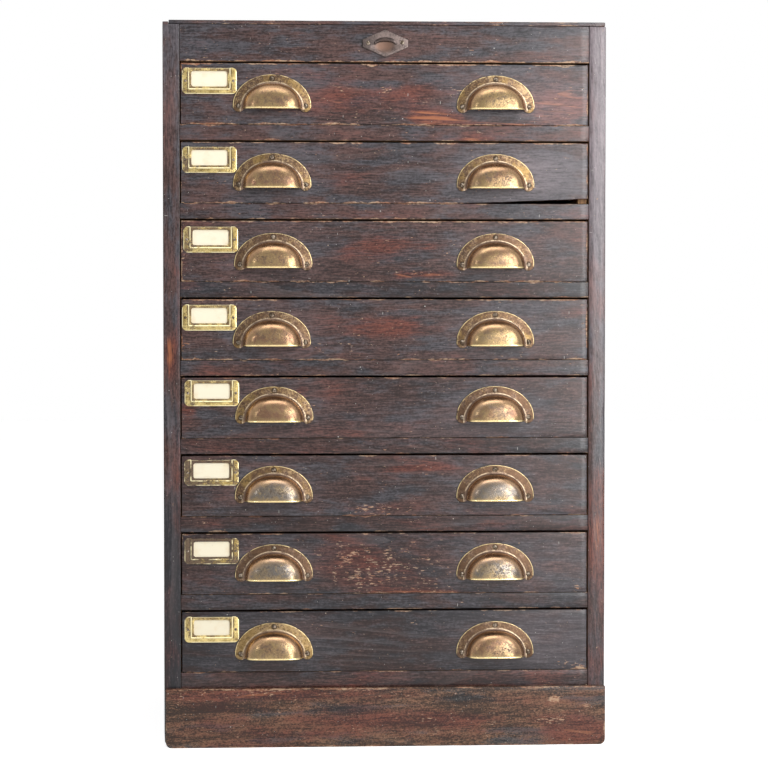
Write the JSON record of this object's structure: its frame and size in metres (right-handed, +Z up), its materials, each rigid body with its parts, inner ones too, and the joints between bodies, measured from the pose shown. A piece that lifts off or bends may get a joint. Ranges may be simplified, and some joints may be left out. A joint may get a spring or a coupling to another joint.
{
  "type": "multi-drawer cabinet",
  "caption": "Tall free-standing cabinet of shallow wooden drawers with brass cup pulls, card frames and a plinth.",
  "frame": {"origin": "on the floor, under the middle of the whole object's box", "axes": "+X to the right as seen from in front, -Y out of the drawer fronts, +Z up"},
  "size_m": [0.58, 0.4473, 0.95],
  "materials": {
    "stained_pine": "old pine stained near black, waxed, with worn brown edges",
    "raw_pine": "bare aged pine",
    "brass_pulls": "aged brass with brown patina and rubbed bright edges",
    "brass_frames": "stamped yellow brass, lightly tarnished",
    "dull_bronze": "dark dull bronze"
  },
  "bodies": {
    "carcass": {"left_side": "stained_pine", "right_side": "stained_pine", "top_board": "stained_pine", "top_rail": "stained_pine", "bottom_board": "stained_pine", "divider_1": "stained_pine", "divider_2": "stained_pine", "divider_3": "stained_pine", "divider_4": "stained_pine", "divider_5": "stained_pine", "divider_6": "stained_pine", "divider_7": "stained_pine", "kicker_left": "raw_pine", "kicker_right": "raw_pine", "back_board_1": "raw_pine", "back_board_2": "raw_pine", "back_board_3": "raw_pine", "back_board_4": "raw_pine", "plinth_front": "stained_pine", "thumb_plate": "dull_bronze"},
    "drawer_1": {"drawer_1_front": "stained_pine", "drawer_1_tray": "raw_pine", "drawer_1_pull_left": "brass_pulls", "drawer_1_pull_right": "brass_pulls", "drawer_1_card_frame": "brass_frames"},
    "drawer_2": {"drawer_2_front": "stained_pine", "drawer_2_tray": "raw_pine", "drawer_2_pull_left": "brass_pulls", "drawer_2_pull_right": "brass_pulls", "drawer_2_card_frame": "brass_frames"},
    "drawer_3": {"drawer_3_front": "stained_pine", "drawer_3_tray": "raw_pine", "drawer_3_pull_left": "brass_pulls", "drawer_3_pull_right": "brass_pulls", "drawer_3_card_frame": "brass_frames"},
    "drawer_4": {"drawer_4_front": "stained_pine", "drawer_4_tray": "raw_pine", "drawer_4_pull_left": "brass_pulls", "drawer_4_pull_right": "brass_pulls", "drawer_4_card_frame": "brass_frames"},
    "drawer_5": {"drawer_5_front": "stained_pine", "drawer_5_tray": "raw_pine", "drawer_5_pull_left": "brass_pulls", "drawer_5_pull_right": "brass_pulls", "drawer_5_card_frame": "brass_frames"},
    "drawer_6": {"drawer_6_front": "stained_pine", "drawer_6_tray": "raw_pine", "drawer_6_pull_left": "brass_pulls", "drawer_6_pull_right": "brass_pulls", "drawer_6_card_frame": "brass_frames"},
    "drawer_7": {"drawer_7_front": "stained_pine", "drawer_7_tray": "raw_pine", "drawer_7_pull_left": "brass_pulls", "drawer_7_pull_right": "brass_pulls", "drawer_7_card_frame": "brass_frames"},
    "drawer_8": {"drawer_8_front": "stained_pine", "drawer_8_tray": "raw_pine", "drawer_8_pull_left": "brass_pulls", "drawer_8_pull_right": "brass_pulls", "drawer_8_card_frame": "brass_frames"}
  },
  "joints": [
    {"name": "drawer_1_slide", "type": "slide", "parent": "carcass", "child": "drawer_1", "axis": [0, -1, 0], "range_m": [0, 0.3]},
    {"name": "drawer_2_slide", "type": "slide", "parent": "carcass", "child": "drawer_2", "axis": [0, -1, 0], "range_m": [0, 0.3]},
    {"name": "drawer_3_slide", "type": "slide", "parent": "carcass", "child": "drawer_3", "axis": [0, -1, 0], "range_m": [0, 0.3]},
    {"name": "drawer_4_slide", "type": "slide", "parent": "carcass", "child": "drawer_4", "axis": [0, -1, 0], "range_m": [0, 0.3]},
    {"name": "drawer_5_slide", "type": "slide", "parent": "carcass", "child": "drawer_5", "axis": [0, -1, 0], "range_m": [0, 0.3]},
    {"name": "drawer_6_slide", "type": "slide", "parent": "carcass", "child": "drawer_6", "axis": [0, -1, 0], "range_m": [0, 0.3]},
    {"name": "drawer_7_slide", "type": "slide", "parent": "carcass", "child": "drawer_7", "axis": [0, -1, 0], "range_m": [0, 0.3]},
    {"name": "drawer_8_slide", "type": "slide", "parent": "carcass", "child": "drawer_8", "axis": [0, -1, 0], "range_m": [0, 0.3]}
  ]
}
